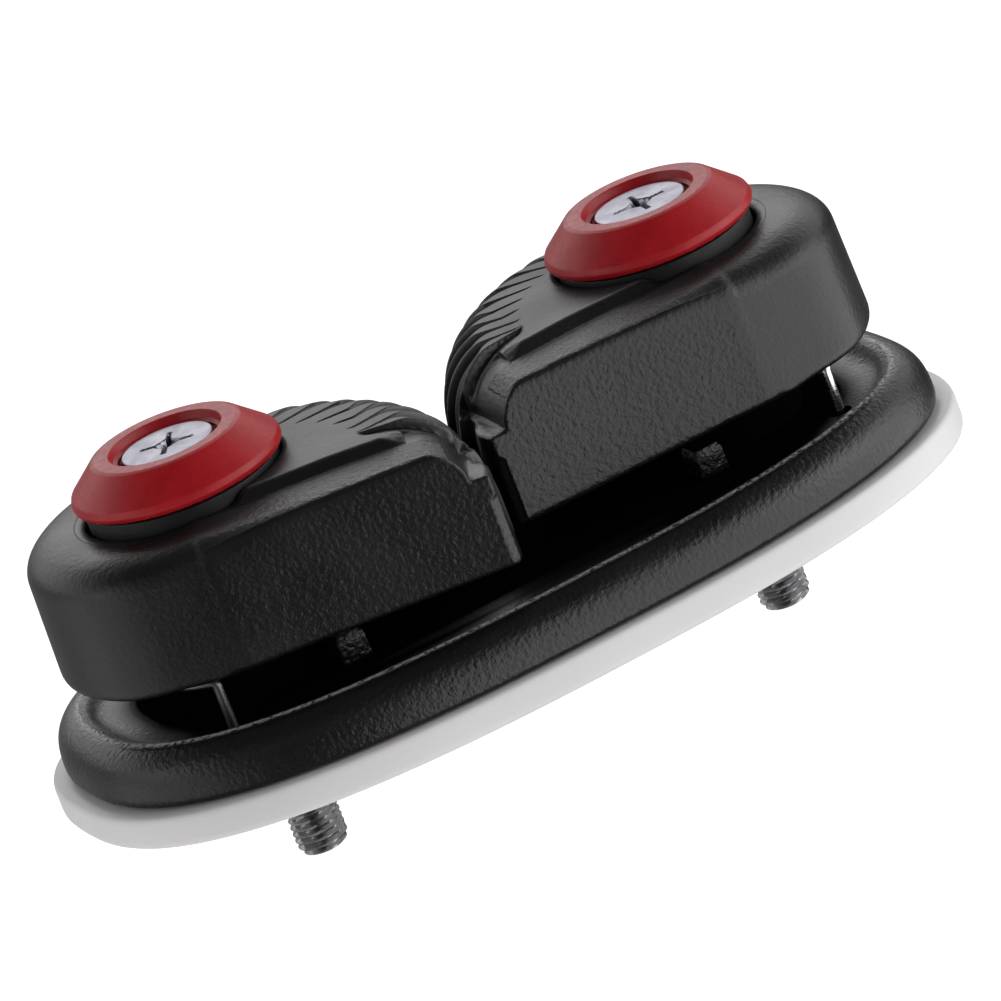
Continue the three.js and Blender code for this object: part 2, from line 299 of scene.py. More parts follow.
def make_object(name, points, faces, material, body, nodes, turn=0.0, at=(0, 0, 0),
                sharp=None, attributes=None):
    """A piece that stands for the CAD nodes. Its points are in millimetres about its own origin."""
    mesh = bpy.data.meshes.new(name)
    mesh.from_pydata((np.asarray(points) * MM).tolist(), [], [list(map(int, f)) for f in faces])
    for key, values in (attributes or {}).items():
        layer = mesh.attributes.new(key, "FLOAT", "POINT")
        layer.data.foreach_set("value", np.asarray(values, np.float32))
    bm = bmesh.new()
    bm.from_mesh(mesh)
    bmesh.ops.remove_doubles(bm, verts=bm.verts, dist=2e-7)
    bmesh.ops.recalc_face_normals(bm, faces=bm.faces)
    bm.to_mesh(mesh)
    bm.free()
    mesh.shade_smooth()
    if sharp is not None:
        mesh.set_sharp_from_angle(angle=math.radians(sharp))
    mesh.materials.append(material)
    obj = bpy.data.objects.new(name, mesh)
    bpy.context.scene.collection.objects.link(obj)
    obj.matrix_world = Matrix.Translation(Vector(at) * MM) @ Matrix.Rotation(math.radians(turn), 4, "Z")
    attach(obj, body)
    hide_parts(*nodes)
    return obj


def grid_faces(rows, columns, wrap_rows=False):
    """Quads between rows of points. The columns always close round."""
    r = np.arange(rows if wrap_rows else rows - 1)
    c = np.arange(columns)
    rr, cc = np.meshgrid(r, c, indexing="ij")
    r2, c2 = (rr + 1) % rows, (cc + 1) % columns
    quads = np.stack([rr * columns + cc, rr * columns + c2, r2 * columns + c2, r2 * columns + cc], -1)
    return quads.reshape(-1, 4).tolist()


def rounded(profile, radii, steps=5):
    """A closed polyline with its corners rounded by the radii given per point."""
    out = []
    count = len(profile)
    for i, (point, radius) in enumerate(zip(profile, radii)):
        p = np.array(point, float)
        a, b = np.array(profile[i - 1], float), np.array(profile[(i + 1) % count], float)
        da, db = (a - p) / np.linalg.norm(a - p), (b - p) / np.linalg.norm(b - p)
        half = math.acos(np.clip(np.dot(da, db), -1, 1)) / 2
        reach = min(radius / math.tan(half), 0.49 * np.linalg.norm(a - p), 0.49 * np.linalg.norm(b - p))
        for k in range(steps + 1):
            t = k / steps
            q = (1 - t) ** 2 * (p + da * reach) + 2 * t * (1 - t) * p + t * t * (p + db * reach)
            out.append(tuple(q))
    return out


def lathe(profile, segments):
    """A closed ring from (radius, height) pairs, or a plug where the profile touches the axis."""
    angles = np.linspace(0, 2 * math.pi, segments, endpoint=False)
    profile = np.array(profile, float)
    points = np.stack([np.outer(profile[:, 0], np.cos(angles)), np.outer(profile[:, 0], np.sin(angles)),
                       np.repeat(profile[:, 1][:, None], segments, 1)], -1)
    return points.reshape(-1, 3), grid_faces(len(profile), segments, wrap_rows=True)


def drop_degenerate(points, faces):
    """Merges the points of a profile that lie on the axis."""
    keys = {}
    remap = []
    kept = []
    for p in np.round(points, 6).tolist():
        key = tuple(p)
        if key not in keys:
            keys[key] = len(kept)
            kept.append(p)
        remap.append(keys[key])
    clean = []
    for face in faces:
        ring = []
        for v in face:
            if remap[v] not in ring:
                ring.append(remap[v])
        if len(ring) > 2:
            clean.append(ring)
    return np.array(kept), clean


def apply_boolean(obj, operation, *others):
    """Joins the others to obj or cuts them from it, one by one, and removes them."""
    for other in others:
        modifier = obj.modifiers.new("join", "BOOLEAN")
        modifier.operation = operation
        modifier.solver = "EXACT"
        modifier.object = other
        bpy.context.view_layer.update()
        evaluated = obj.evaluated_get(bpy.context.evaluated_depsgraph_get())
        mesh = bpy.data.meshes.new_from_object(evaluated)
        obj.modifiers.clear()
        obj.data = mesh
        bpy.data.objects.remove(other)


def tool(points, faces):
    """A scratch solid for a boolean, removed once it has been used."""
    mesh = bpy.data.meshes.new("tool")
    points, faces = drop_degenerate(np.asarray(points), faces)
    mesh.from_pydata((points * MM).tolist(), [], faces)
    bm = bmesh.new()
    bm.from_mesh(mesh)
    bmesh.ops.recalc_face_normals(bm, faces=bm.faces)
    bm.to_mesh(mesh)
    bm.free()
    obj = bpy.data.objects.new("tool", mesh)
    bpy.context.scene.collection.objects.link(obj)
    return obj


def pillar(radius, low, high, x=0.0, y=0.0, segments=64, bevel=0.0):
    """A round scratch solid with its upper edge bevelled."""
    profile = [(0, low), (radius, low), (radius, high - bevel), (radius - bevel, high), (0, high)]
    points, faces = lathe(profile, segments)
    return tool(points + np.array([x, y, 0]), faces)


# ---- cams -----------------------------------------------------------------------------------------
# Drawn about the pivot in millimetres, with the nose towards +X and the flat face towards -Y. The
# skin is where rays from a ring inside the cam leave the shape that solid() describes.

CAM_LOW, CAM_TOP = 9.3, 19.9
END_RADIUS, FRONT_Y, NOSE_RADIUS = 12.1, -11.6, 22.5
NOSE_ANGLE, SPIRAL_RATE = -30.7, 0.34
BORE, LIP, LIP_LOW, BORE_STEP = 8.2, 7.35, 18.1, 12.0
SPRING_RECESS = (9.05, 10.95, 12.8)     # inner and outer radius, and its roof
# Where each tooth's edge stands at a radius of TOOTH_RADIUS, in degrees, and how fast it sweeps back
# outwards.
TOOTH_RADIUS = 14
TOOTH_ANGLE = [-60, -19.0, -16.5, -8.5, 0.5, 9.5, 19.0, 29.0, 39.5, 50.5, 62.0, 74.0, 86.0]
TOOTH_SWEEP = [0, 6, 34, 38, 38, 36, 34, 32, 28, 24, 20, 16, 10]
TOOTH_DEPTH, TOOTH_STEP = 0.95, 0.07
FIRST_TOOTH, LAST_TOOTH = 1, 11
# The sides lean in along quarter-ovals: (depth, height of the foot, height of the top).
TOOTHED_DOME, NOSE_DOME, END_DOME = (7.6, 11.5, 20.3), (3.0, 15.6, 19.2), (4.2, 16.9, 19.98)
DOME_POWER, END_POWER = 2.5, 2.0
END_DRAFT = 0.035
# Degrees between which one kind of side gives way to the next.
NOSE_TO_TEETH, TEETH_TO_END, BACK_ANGLE = (-28, -20), (45, 112), -62
END_TO_FACE, FACE_TO_NOSE = (-95, -72), (-38, -31)
FACE_CLEARANCE = 8          # how far the side stands back where the flat face shapes the cam
# The nose's ledge, the scoop over it, and where both end towards the rope.
LEDGE_X, LEDGE_Z, LEDGE_END = 18.1, 16.2, (-5.5, -3.5)
SCOOP_X, SCOOP_Z, SCOOP_RUN, SCOOP_RISE, SCOOP_END = 15.0, 15.9, 3.1, 3.25, (-6.2, -4.2)
# The step and slope in front of the crease near the nose, and the shoulder near the round end.
STEP_DROP, STEP_RUN, SLOPE, SLOPE_END = 0.74, 1.15, 0.035, 6
SHOULDER_DROP, SHOULDER_RUN = 3.05, 5.45
FACE_DRAFT = 0.012
NOSE_CHAMFER, LOW_CHAMFER, CHAMFER_SHARE = 0.55, 0.5, 0.7


def ease(low, high, value):
    t = np.clip((value - low) / (high - low), 0, 1)
    return t * t * (3 - 2 * t)


def blend(a, b, t):
    return a + (b - a) * t


def round_max(a, b, radius):
    """The larger of a and b, with the corner between them rounded off."""
    h = np.maximum(radius - np.abs(a - b), 0) / radius
    return np.maximum(a, b) + h * h * radius / 4


def cam_radius(angle):
    """The plan: a spiral over the teeth, a round end, and a straight side from the end to the nose."""
    spiral = NOSE_RADIUS * np.exp(-SPIRAL_RATE * np.radians(angle - NOSE_ANGLE))
    straight = END_RADIUS / np.maximum(-np.sin(np.radians(angle)), 0.05)
    spiral = np.where(angle < 0, np.minimum(spiral, straight), spiral)
    spiral = np.where((angle < -90) | (angle > 125), END_RADIUS, spiral)
    return round_max(spiral, END_RADIUS, 0.5)


def tooth_number(angle, radius):
    """Which tooth a point belongs to, counted from the nose, with the share across it."""
    out = np.log(np.maximum(radius, 12.5) / TOOTH_RADIUS)
    counts = np.arange(len(TOOTH_ANGLE))
    number = np.interp(angle, TOOTH_ANGLE, counts)
    for _ in range(5):
        sweep = np.interp(number, counts, TOOTH_SWEEP)
        number = 0.4 * number + 0.6 * np.interp(angle - sweep * out, TOOTH_ANGLE, counts)
    return number


def tooth_cut(angle, radius):
    """The share of the tooth's depth cut away, the tooth's number and the share across it."""
    number = tooth_number(angle, radius)
    share = number - np.floor(number)
    # the grooves get narrow where they run out on the flat top
    onto_top = 1 - ease(-1.9, 0.8, radius - cam_radius(angle) + 4.5)
    rise = ((share - TOOTH_STEP) / (1 - TOOTH_STEP)) ** (1.8 + 5 * onto_top)
    fall = np.where(share < TOOTH_STEP, 1 - share / TOOTH_STEP, rise)
    # ahead of the first tooth the side stands back a little, and more towards that tooth
    lead_in = 0.5 * np.clip(1 - (FIRST_TOOTH - number) * 3.5, 0, 1)
    cut = np.where(number < FIRST_TOOTH, 0.3 + lead_in, fall)
    cut = np.where(number > LAST_TOOTH, 0, cut)
    return cut, number, share


def side_wall(angle, radius, z):
    """The side all round: straight up, then leaning in, with the teeth cut into it."""
    full = cam_radius(angle)
    to_end = np.where(angle < BACK_ANGLE, 1, ease(*TEETH_TO_END, angle))
    from_nose = ease(*NOSE_TO_TEETH, angle)
    at_nose = (1 - from_nose) * ease(14, 17, radius)
    depth, foot, apex = (blend(blend(teeth, nose, at_nose), end, to_end)
                         for teeth, nose, end in zip(TOOTHED_DOME, NOSE_DOME, END_DOME))
    draft = END_DRAFT * to_end * np.maximum(foot - z, 0)
    inner = full - depth
    u = np.maximum(radius - inner, 0) / depth
    v = np.maximum(z - foot, 0) / (apex - foot)
    power = blend(DOME_POWER, END_POWER, to_end)
    slope = power * np.sqrt((u ** (power - 1) / depth) ** 2 + (v ** (power - 1) / (apex - foot)) ** 2) + 1e-9
    dome = np.where(radius < inner, z - apex, (u ** power + v ** power - 1) / slope)
    wall = np.where(z <= foot, radius - full - draft, dome)
    wall = wall - FACE_CLEARANCE * ease(*END_TO_FACE, angle) * (1 - ease(*FACE_TO_NOSE, angle))
    cut, _, _ = tooth_cut(angle, radius)
    reach = ease(-3.5, -1.8, radius - full + 5.4)
    lower = 0.6 + 0.4 * ease(CAM_LOW, 13, z)
    return wall + TOOTH_DEPTH * cut * reach * lower * (1 - to_end) * from_nose


def crease_y(x):
    """The line where the flat top ends, in front of the cap."""
    return -6.35 - 0.45 * ease(9, 15, x)


def solid(x, y, z):
    """Below zero inside the cam, and about the distance from its skin near it."""
    wall = side_wall(np.degrees(np.arctan2(y, x)), np.hypot(x, y), z)
    # the nose's lead-in, a smooth scoop over the ledge
    over = np.maximum(x - SCOOP_X, 0) / SCOOP_RUN
    up = np.maximum(z - SCOOP_Z, 0) / SCOOP_RISE
    scoop = np.where(x > SCOOP_X, (over ** 2 + up ** 2 - 1) * 1.5, -1)
    scoop = np.where(z > LEDGE_Z, scoop, -1) - 1.5 * ease(*SCOOP_END, y)
    ledge = np.minimum(x - LEDGE_X, z - LEDGE_Z) - 2.0 * ease(*LEDGE_END, y)
    skin = round_max(np.maximum(wall, ledge), scoop, 0.25)
    # the flat top, the step in front of it and the front face
    ahead = np.clip(crease_y(x) - y, 0, SLOPE_END)
    step = STEP_DROP * ease(0, STEP_RUN, ahead) + SLOPE * ahead
    shoulder = SHOULDER_DROP * (1 - np.sqrt(1 - np.clip(ahead / SHOULDER_RUN, 0, 0.995) ** 2))
    top = z - CAM_TOP + blend(shoulder, step, ease(-7, 5, x))
    face = FRONT_Y - y + FACE_DRAFT * (z - CAM_LOW)
    # chamfers along the nose's upright edge and the face's lower edge, moved away where there are none
    away = 3
    along_nose = (face + wall + NOSE_CHAMFER) * CHAMFER_SHARE - away * (1 - ease(12, 15, x))
    along_nose = along_nose - away * ease(14.4, 15.6, z)
    along_low = (face + CAM_LOW - z + LOW_CHAMFER) * CHAMFER_SHARE - away * (1 - ease(-6, -1, x))
    face = np.maximum(face, np.maximum(along_nose, along_low))
    corner = blend(1.6, 0.75, ease(-4, 12, x))
    skin = round_max(skin, round_max(top, face, corner), blend(3.2, 0.16, ease(-5, 3, x)))
    return round_max(skin, CAM_LOW - z, blend(1.0, 0.4, ease(-6, 0, x)))


CAM_COLUMNS = 640
UNDER_ROWS, WALL_ROWS, TOP_ROWS = ((5, 62, 78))
RAY_CORE = (9.4, 14.2)              # radius and height of the ring that the rays start from
OUTSIDE = (8.7, 20.5, 0.3)          # the rays end below, above and this far beside the cam
SKIN_START = 11.25                  # the radius where the skin starts under the cam


def column_angles():
    """Angles spread evenly along the cam's plan, closer over the teeth, and the plan's radius there."""
    fine = np.radians(np.linspace(-180, 180, 7201)[:-1])
    degrees = np.degrees(fine)
    reach = cam_radius(degrees)
    to_face = FRONT_Y / np.minimum(np.sin(fine), -1e-6)
    reach = np.where(np.sin(fine) < 0, np.minimum(reach, to_face), reach)
    x, y = reach * np.cos(fine), reach * np.sin(fine)
    spacing = np.hypot(np.diff(x, append=x[0]), np.diff(y, append=y[0]))
    weight = np.where((degrees > -34) & (degrees < 75), 1.7, 1.0)
    length = np.concatenate([[0], np.cumsum(spacing * weight)])
    wanted = np.linspace(0, length[-1], CAM_COLUMNS, endpoint=False)
    angle = np.interp(wanted, length, np.append(fine, math.pi))
    return angle, np.interp(angle, fine, reach)


def cam_skin(angle, reach):
    """Radius and height of the outer skin, row by row, from under the cam round to the lip."""
    low, high, beside = OUTSIDE
    level = np.ones(CAM_COLUMNS)
    targets = []
    for k in range(UNDER_ROWS):
        share = k / UNDER_ROWS
        targets.append((SKIN_START + (reach + beside - SKIN_START) * share, low * level))
    for k in range(WALL_ROWS):
        share = (k / WALL_ROWS) ** 0.8
        targets.append((reach + beside, (low + (high - low) * share) * level))
    for k in range(TOP_ROWS + 1):
        share = k / TOP_ROWS
        targets.append((reach + beside + (LIP + 0.02 - reach - beside) * share, high * level))
    target_r, target_z = np.array(targets).transpose(1, 0, 2)
    core_r, core_z = RAY_CORE
    near, far = np.zeros_like(target_r), np.full_like(target_r, 1.05)
    for _ in range(22):
        middle = (near + far) / 2
        radius = core_r + (target_r - core_r) * middle
        z = core_z + (target_z - core_z) * middle
        inside = solid(radius * np.cos(angle), radius * np.sin(angle), z) < 0
        near, far = np.where(inside, middle, near), np.where(inside, far, middle)
    radius = core_r + (target_r - core_r) * near
    radius[-1] = LIP
    return radius, core_z + (target_z - core_z) * near


def cam_mesh():
    angle, reach = column_angles()
    radius, z = cam_skin(angle, reach)
    recess_in, recess_out, roof = SPRING_RECESS
    inner_profile = [(LIP, LIP_LOW), (BORE, LIP_LOW), (BORE, BORE_STEP), (BORE, CAM_LOW),
                     (recess_in, CAM_LOW), (recess_in, roof), (recess_out, roof), (recess_out, CAM_LOW)]
    level = np.ones((1, CAM_COLUMNS))
    radius = np.concatenate([radius] + [r * level for r, _ in inner_profile])
    z = np.concatenate([z] + [height * level for _, height in inner_profile])
    points = np.stack([radius * np.cos(angle), radius * np.sin(angle), z], -1).reshape(-1, 3)
    return points, grid_faces(len(z), CAM_COLUMNS, wrap_rows=True), cam_layers(*points.T)


def cam_layers(x, y, z):
    """What the coating varies by: painted highlights along the edges, flat places painted paler as painted
    light, and the pebbles' height.
    """
    degrees, radius = np.degrees(np.arctan2(y, x)), np.hypot(x, y)
    cut, number, share = tooth_cut(degrees, radius)
    crease = crease_y(x)
    toothed = (number > FIRST_TOOTH - 0.2) & (number < LAST_TOOTH - 1) & (z > 9.6)
    # painted light on the flat top; the band and the teeth's flats join it in flat below
    flat_top = ease(CAM_TOP - 0.05, CAM_TOP - 0.02, z) * (radius < 17)
    band = ease(0.9, 1.4, crease - y) * (z > 18.2) * (y > FRONT_Y + 0.5) * ease(-2, 8, x)
    # painted highlights: the line along each tooth's edge, the line along the crease, and the band in front
    # of it
    near_edge = np.exp(-(np.minimum(np.abs(share - 0.075), np.abs(share - 1.075)) / 0.035) ** 2)
    edge = near_edge * toothed * (1 - flat_top) * ease(16.9, 18.5, z + 0.12 * radius)
    line = np.exp(-((y - crease + 0.02) / 0.14) ** 2) * ease(-4, 2, x) * (z > 19.5) * (x < 15.3)
    edge = np.clip(edge + 0.8 * line, 0, 1)
    edge = np.clip(edge + 0.35 * band, 0, 1)
    # painted light: the flats between the grooves are painted paler
    petal = 0.6 * (number > 2) * toothed * (1 - np.clip(cut, 0, 1)) * ease(11, 16, z)
    flat = np.maximum(np.maximum(flat_top, band), petal)
    towards_top = ease(0, 4, 21.5 - z - 0.16 * (17 - x))
    face = (1 - ease(0.15, 1.2, y - FRONT_Y)) * ease(-11, 7, x) * towards_top
    pebbles = blend(0.24 + 0.26 * face, 1.0, band)
    rope_side = (degrees > -25) & (degrees < 100) & (y > -6.3)
    pebbles = np.where(rope_side, 0.16, pebbles)
    pebbles = np.where((flat > 0.5) & (band < 0.3) & (z > CAM_TOP - 0.1), 0.2, pebbles)
    return {"edge": edge, "flat_top": flat, "pebbles": pebbles}


cam_points, cam_faces, coating_layers = cam_mesh()
for side, sign in SIDES.items():
    points = cam_points * np.array([-sign, 1, 1])
    make_object(f"{side}_cam_casting", points, cam_faces, CAM_COATING, f"{side}_cam_body",
                [f"{side}_cam"], turn=REST_TURN[side], at=(PIVOT_X[side], 0, 0), attributes=coating_layers)


# ---- base plate and riser -------------------------------------------------------------------------

OVAL_POWER, OVAL_POINTS = 2.6, 360                      # |x/a| ** power + |y/b| ** power = 1
TRAY_FLOOR, RIM_TOP, CROWN_INSET = 5.4, 6.4, 2.4
BOSS_RADIUS, BOSS_TOP, POST_RADIUS, POST_TOP = 6.0, 9.35, 3.5, 19.0
STOP_X, STOP_Y, STOP_LOW, STOP_TOP = 14.4, -7, 4.9, 7.5
STOP_HALF_WIDTH, STOP_HALF_DEPTH = 1.15, 1.3
COIL_RADIUS, LEG_ANGLE = 10.0, math.radians(-57)        # of the springs, seen on the right side
LEG_HOLE_RADIUS, LEG_HOLE_BOTTOM = 0.85, 3.1


def oval(a, b):
    """A function that gives the oval's points, moved in by an inset square to the edge, at a height."""
    t = np.linspace(0, 2 * math.pi, OVAL_POINTS, endpoint=False)
    cos, sin = np.cos(t), np.sin(t)
    x = a * np.sign(cos) * np.abs(cos) ** (2 / OVAL_POWER)
    y = b * np.sign(sin) * np.abs(sin) ** (2 / OVAL_POWER)
    normal = np.column_stack([np.sign(x) * np.abs(x / a) ** (OVAL_POWER - 1) / a,
                              np.sign(y) * np.abs(y / b) ** (OVAL_POWER - 1) / b])
    normal /= np.linalg.norm(normal, axis=1)[:, None]
    edge = np.column_stack([x, y])
    return lambda inset, z: np.column_stack([edge - normal * inset, np.full(OVAL_POINTS, z)])


def closed_stack(rings):
    """Points and faces of a body from rings of equal length, capped at both ends."""
    count = len(rings[0])
    faces = grid_faces(len(rings), count)
    faces.append(list(range(count))[::-1])
    faces.append([(len(rings) - 1) * count + k for k in range(count)])
    return np.array(rings).reshape(-1, 3), faces


def rim_profile(bottom):
    """The rim from its outer foot over the crown and down to the floor, as rows of inset and height."""
    outer = [(0.45, 0), (0.12, 0.03), (0.0, 0.1), (0.02, 0.27), (0.06, 0.42), (0.16, 0.56), (0.34, 0.68),
             (0.62, 0.79), (0.98, 0.88), (1.36, 0.945), (1.76, 0.985), (2.15, 1.0)]
    profile = [(inset, bottom + (RIM_TOP - bottom) * share) for inset, share in outer]
    profile += [(2.5, RIM_TOP - 0.03), (2.8, RIM_TOP - 0.13), (3.0, RIM_TOP - 0.28), (3.15, RIM_TOP - 0.48)]
    profile += [(3.3, TRAY_FLOOR + 0.33), (3.5, TRAY_FLOOR + 0.2), (3.8, TRAY_FLOOR + 0.08),
                (4.1, TRAY_FLOOR + 0.02), (4.4, TRAY_FLOOR), (5.2, TRAY_FLOOR), (6.2, TRAY_FLOOR)]
    steps = np.linspace(0, len(profile) - 1, 2 * len(profile) - 1)
    inset, height = (np.interp(steps, np.arange(len(profile)), row) for row in zip(*profile))
    for row in (inset, height):
        for _ in range(3):      # softens the polyline so that the rim is one round
            row[1:-1] = (row[:-2] + 2 * row[1:-1] + row[2:]) / 4
    return zip(inset, height)


def base_plate():
    low, high = box_mm("base_plate")
    a, b = high[0], high[1]
    bottom = low[2]
    ring = oval(a, b)
    plate = tool(*closed_stack([ring(inset, z) for inset, z in rim_profile(bottom)]))
    for sign in (-1, 1):
        x = sign * abs(PIVOT_X["right"])
        boss = pillar(BOSS_RADIUS, TRAY_FLOOR - 0.5, BOSS_TOP, x, bevel=0.35)
        post = pillar(POST_RADIUS, TRAY_FLOOR, POST_TOP, x, bevel=0.2)
        apply_boolean(plate, "UNION", boss, post, stop_block(sign * STOP_X))
        leg_x, leg_y = x + sign * COIL_RADIUS * math.cos(LEG_ANGLE), COIL_RADIUS * math.sin(LEG_ANGLE)
        hole = pillar(LEG_HOLE_RADIUS, LEG_HOLE_BOTTOM, TRAY_FLOOR + 0.6, leg_x, leg_y, 32)
        apply_boolean(plate, "DIFFERENCE", pillar(SCREW_HOLE, bottom - 1, POST_TOP + 1, x), hole)
    points = np.array([v.co for v in plate.data.vertices]) / MM
    faces = [list(f.vertices) for f in plate.data.polygons]
    bpy.data.objects.remove(plate)
    return make_object("base_tray", points, faces, BASE_COATING, "base", ["base_plate"],
                       sharp=38, attributes=base_layers(points, a, b, bottom))


def base_layers(points, a, b, bottom):
    """What the coating varies by: the painted highlight along the crown, the rough places and the painted
    shade in the tray.
    """
    x, y, z = points.T
    to_crown = np.abs(x / (a - CROWN_INSET)) ** OVAL_POWER + np.abs(y / (b - CROWN_INSET)) ** OVAL_POWER
    off = (to_crown ** (1 / OVAL_POWER) - 1) * np.hypot(x, y)       # outward from the crown's line
    # painted highlight along the crown's line
    crown_highlight = ease(RIM_TOP - 0.06, RIM_TOP - 0.015, z) * (np.abs(off) < 1.2)
    stop = np.abs(np.abs(x) - STOP_X) < STOP_HALF_WIDTH + 0.25
    stop = stop & (np.abs(y - STOP_Y) < STOP_HALF_DEPTH + 0.3) & (z > TRAY_FLOOR + 0.05)
    # painted shade in the tray, away from the stop blocks
    tray = ease(0.6, 3.2, -off) * (z > bottom + 1) * ~stop          # darker inward from the crown
    return {"edge": crown_highlight, "rough": np.clip(0.6 * crown_highlight + 0.3 * stop, 0, 1), "tray": tray}


def stop_block(x):
    """A stub standing on the tray's floor, a little narrower at its top."""
    steps = 7
    corners = 4
    rounding, points_per_corner = 0.16, 4
    points = []
    for k in range(steps + 1):
        share = k / steps
        z = STOP_LOW + (STOP_TOP - STOP_LOW) * share
        pull = 0.10 * share + (0.14 if k == steps else 0)
        half_x, half_y = STOP_HALF_WIDTH - pull, STOP_HALF_DEPTH - pull
        section = rounded([(x - half_x, STOP_Y - half_y), (x + half_x, STOP_Y - half_y),
                           (x + half_x, STOP_Y + half_y), (x - half_x, STOP_Y + half_y)],
                          [rounding] * corners, points_per_corner - 1)
        points += [(px, py, z) for px, py in section]
    return tool(*closed_stack(np.array(points).reshape(steps + 1, corners * points_per_corner, 3)))


def riser_pad():
    low, high = box_mm("riser_pad")
    top = high[2]
    ring = oval(high[0], high[1])
    profile = [(1.0, 0.0), (0.55, 0.0), (0.3, 0.05), (0.13, 0.16), (0.03, 0.34), (0.0, 0.6), (0.0, 1.2),
               (0.0, 1.9), (0.03, 2.15), (0.1, 2.3), (0.25, top), (1.0, top)]
    pad = tool(*closed_stack([ring(inset, z) for inset, z in profile]))
    for sign in (-1, 1):
        apply_boolean(pad, "DIFFERENCE", pillar(SCREW_HOLE, -1, top + 1, sign * abs(PIVOT_X["right"])))
    points = [np.array(v.co) / MM for v in pad.data.vertices]
    faces = [list(f.vertices) for f in pad.data.polygons]
    bpy.data.objects.remove(pad)
    return make_object("riser_moulding", points, faces, WHITE, "base", ["riser_pad"],
                       sharp=38)


base_plate()
riser_pad()


# ---- caps, races, screws, springs, balls ------------------------------------------------------------

def bearing_cap(side, sign):
    profile = [(2.3, 19.2), (4.75, 19.2), (4.75, 20.35), (6.9, 20.35), (7.45, 20.48), (7.62, 20.85),
               (7.45, 21.3), (5.45, 23.1), (5.15, 23.2), (4.1, 23.2), (3.92, 22.65), (3.62, 22.5),
               (3.62, 22.3), (2.3, 20.9)]
    radii = [0.1, 0.1, 0.1, 0.15, 0.2, 0.3, 0.35, 0.3, 0.1, 0.12, 0.1, 0.1, 0.05, 0.1]
    points, faces = lathe(rounded(profile, radii, 5), 160)
    # slight moulding flash along the lowest edge
    angle = np.arctan2(points[:, 1], points[:, 0])
    radius = np.hypot(points[:, 0], points[:, 1])
    ragged = 0.035 * np.sin(9 * angle + sign) * np.sin(23 * angle) + 0.03 * np.sin(57 * angle + 2 * sign)
    share = np.exp(-((points[:, 2] - 20.44) / 0.12) ** 2) * (radius > 6.6)
    points[:, 2] += ragged * share
    points[:, :2] *= (1 + ragged * share / np.maximum(radius, 1))[:, None]
    return make_object(f"{side}_cap_moulding", points, faces, RED, "base",
                       [f"{side}_bearing_cap"], at=(PIVOT_X[side], 0, 0), sharp=50)


# Each ring's inner and outer radius, bottom and top, how round its corners are, and its finish.
RACES = {
    "upper_race": ((5.05, 7.0, 17.95, 20.2), (0.1, 0.15, 0.12, 0.1), COLLAR, "black_plastic"),
    "lower_race": ((3.65, 8.0, 9.5, 11.1), (0.1, 0.25, 0.25, 0.1), COLLAR, "black_plastic"),
    "inner_race": ((3.65, 4.8, 11.2, 18.9), (0.1, 0.2, 0.2, 0.1), SLEEVE, "red_plastic"),
}


def race(side, name):
    (inner, outer, bottom, top), radii, material, slot = RACES[name]
    profile = [(inner, bottom), (outer, bottom), (outer, top), (inner, top)]
    points, faces = lathe(rounded(profile, radii, 4), 128)
    body = frame["nodes"][f"{side}_{name}"]["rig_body"]
    return make_object(f"{side}_{name}_ring", points, faces, material, body, [f"{side}_{name}"],
                       at=(PIVOT_X[side], 0, 0), sharp=45)


def recess_depth(x, y):
    """The cross recess: four thin arms that deepen into a pointed middle."""
    ax, ay = np.abs(x), np.abs(y)
    along, across = np.maximum(ax, ay), np.minimum(ax, ay)
    arm = ease(0.0, 0.1, 0.24 - 0.03 * along - across) * ease(0.0, 0.3, 2.0 - along)
    radius = np.hypot(x, y)
    middle = ease(0.0, 0.3, 0.56 - 0.5 * radius - 0.3 * across) * np.clip(1 - radius / 1.2, 0, 1) ** 0.8
    return np.maximum(arm * (1.0 - 0.28 * along), 1.6 * middle)


SCREW_COLUMNS, THREAD_ROWS, HEAD_ROWS = 144, 300, 74
HEAD_RADIUS, SHANK_RADIUS, NECK_Z = 3.3, 1.95, 20.9
THREAD_PITCH, THREAD_CREST, THREAD_ROOT = 0.5, 1.86, 1.52
THREAD_STEEL_BELOW = 0.020          # metres


